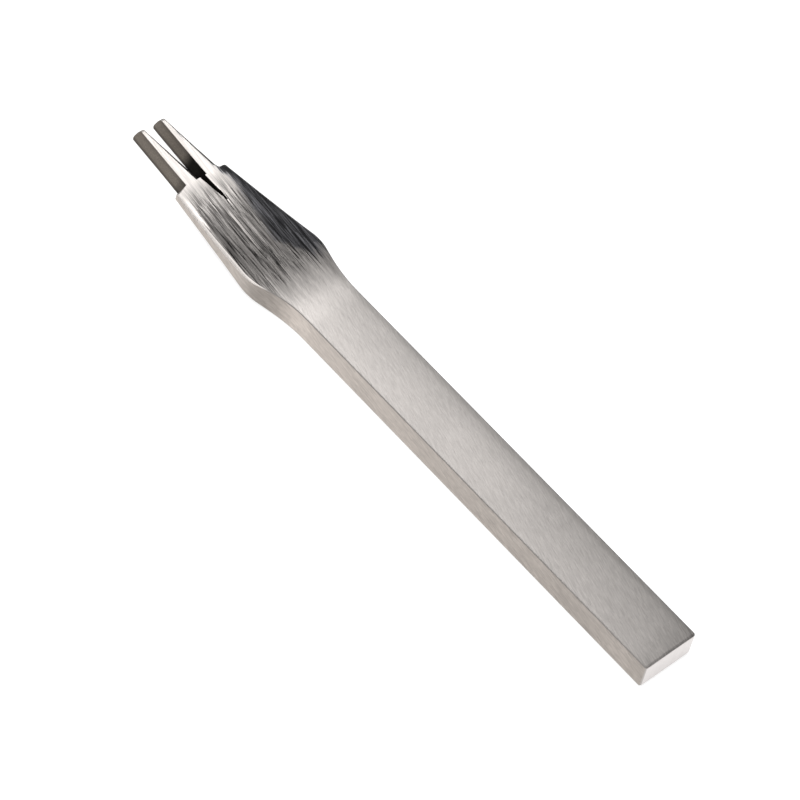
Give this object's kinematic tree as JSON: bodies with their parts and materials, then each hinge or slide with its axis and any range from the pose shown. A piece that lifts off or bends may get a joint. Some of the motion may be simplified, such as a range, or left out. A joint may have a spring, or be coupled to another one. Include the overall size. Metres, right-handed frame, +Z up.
{
  "type": "pricking iron",
  "caption": "One-piece steel pricking iron: a flat rectangular bar ground to a flared, tapered head with two slanted flat teeth for marking stitch holes in leather.",
  "frame": {"origin": "Centre of the tool's bounding box in X and Y, on the flat underside of the bar in Z.", "axes": "+X runs along the bar from the teeth to the struck butt face, Y across the bar's width, +Z up through the bar's thickness; the tool lies flat on its underside."},
  "size_m": [0.1191, 0.0142, 0.005],
  "materials": {
    "satin_steel": "satin ground bar, coarser lengthwise grinding on the head, dull ground tooth flanks"
  },
  "bodies": {
    "root": {"pricking_iron_body": "satin_steel"}
  },
  "joints": []
}
